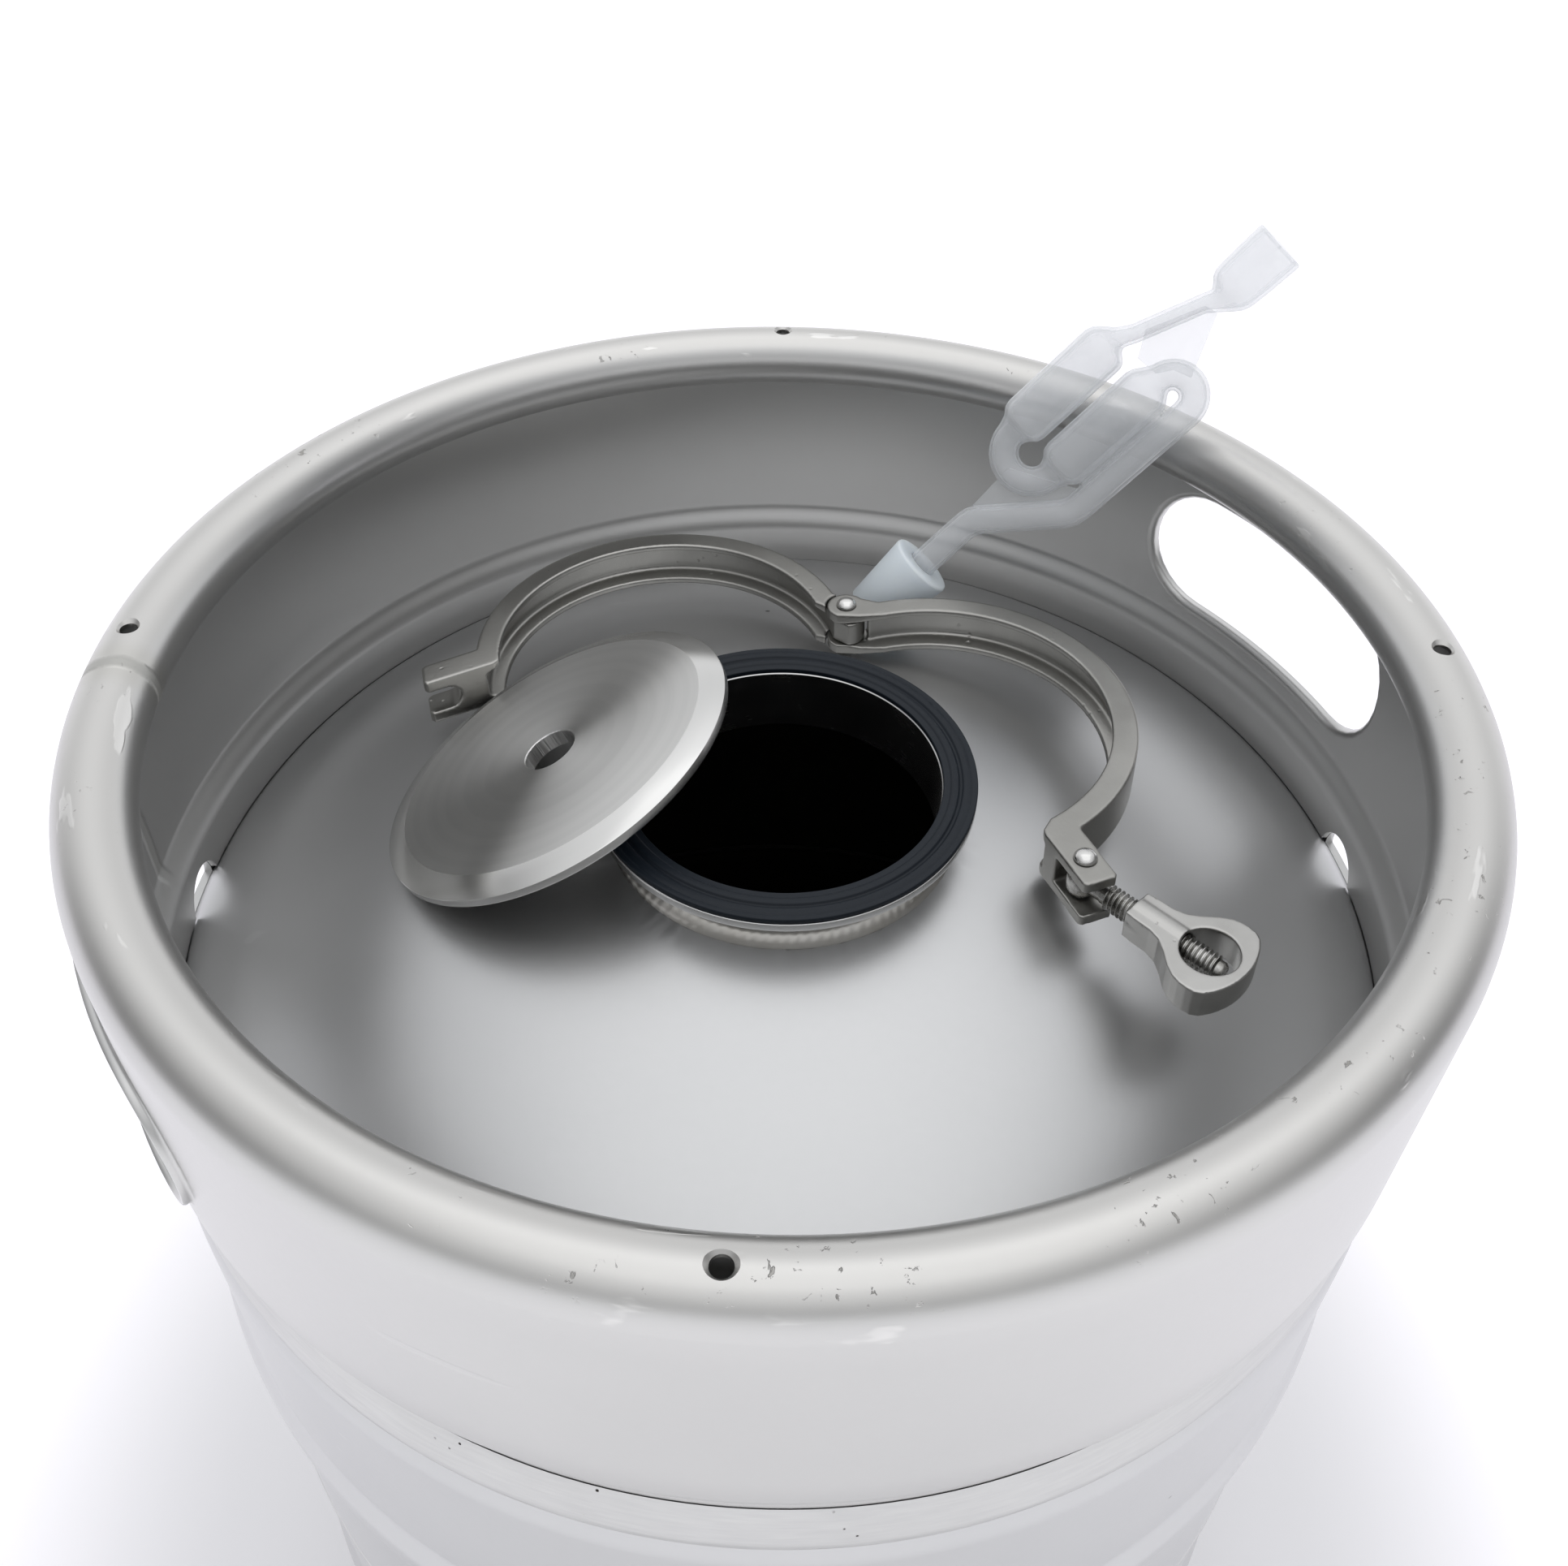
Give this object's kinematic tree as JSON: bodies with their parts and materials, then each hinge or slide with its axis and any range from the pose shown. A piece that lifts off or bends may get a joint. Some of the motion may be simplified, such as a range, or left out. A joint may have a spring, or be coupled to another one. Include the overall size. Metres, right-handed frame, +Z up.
{
  "type": "beer keg",
  "caption": "Stainless barrel keg with skirts and handholds, opened by a round ferrule, with a loose end cap, hinged clamp, wing nut, stopper and airlock.",
  "frame": {"origin": "centre of the keg's base, on the floor that it stands on", "axes": "+Z up along the keg's axis; -Y towards the side that the keg is seen from; +X to that viewer's right"},
  "size_m": [0.4, 0.4, 0.66],
  "materials": {
    "shell_steel": "satin, pickled and lightly scuffed",
    "weld_steel": "ground weld, matt",
    "chime_steel": "satin with soft highlights and nicks on the rim",
    "ferrule_steel": "turned and polished",
    "gasket_rubber": "blue-black, semi-gloss",
    "cap_steel": "lathe-turned face",
    "clamp_casting": "tumbled casting",
    "rivet_steel": "bright",
    "bolt_steel": "rolled thread",
    "nut_casting": "tumbled casting with bright edges",
    "silicone": "milky, semi-matt",
    "airlock_plastic": "frosted and translucent"
  },
  "bodies": {
    "keg": {"upper_shell": "shell_steel", "lower_shell": "shell_steel", "girth_weld": "weld_steel", "top_chime": "chime_steel", "bottom_chime": "chime_steel", "top_chime_weld": "weld_steel", "bottom_chime_weld": "weld_steel", "ferrule": "ferrule_steel", "ferrule_weld": "weld_steel", "gasket": "gasket_rubber"},
    "cap": {"end_cap": "cap_steel"},
    "clamp_eared": {"clamp_eared_half": "clamp_casting", "hinge_rivet": "rivet_steel", "bolt_rivet": "rivet_steel"},
    "clamp_slotted": {"clamp_slotted_half": "clamp_casting"},
    "swing_bolt": {"swing_bolt": "bolt_steel"},
    "wing_nut": {"wing_nut": "nut_casting"},
    "stopper": {"stopper": "silicone"},
    "airlock": {"airlock": "airlock_plastic"}
  },
  "joints": [
    {"name": "cap_lift", "type": "slide", "parent": "keg", "child": "cap", "axis": [0, 0, 1], "range_m": [0, 0.15]},
    {"name": "clamp_lift", "type": "slide", "parent": "keg", "child": "clamp_eared", "axis": [0, 0, 1], "range_m": [0, 0.15]},
    {"name": "clamp_hinge", "type": "hinge", "parent": "clamp_eared", "child": "clamp_slotted", "pos_m": [0.02125, 0.0891, 0.527], "axis": [-0.0399, 0.0181, 0.999], "range_deg": [-28, 0]},
    {"name": "bolt_swing", "type": "hinge", "parent": "clamp_eared", "child": "swing_bolt", "pos_m": [0.08787, -0.03484, 0.53192], "axis": [-0.0399, 0.0181, 0.999], "range_deg": [-80, 30]},
    {"name": "wing_nut_spin", "type": "hinge", "parent": "swing_bolt", "child": "wing_nut", "pos_m": [0.08787, -0.03484, 0.53192], "axis": [0.6873, -0.7253, 0.0407], "continuous": true},
    {"name": "stopper_lift", "type": "slide", "parent": "keg", "child": "stopper", "axis": [0, 0, 1], "range_m": [0, 0.15]},
    {"name": "airlock_pull", "type": "slide", "parent": "stopper", "child": "airlock", "axis": [0.6726, 0.1179, 0.7306], "range_m": [0, 0.03]}
  ]
}
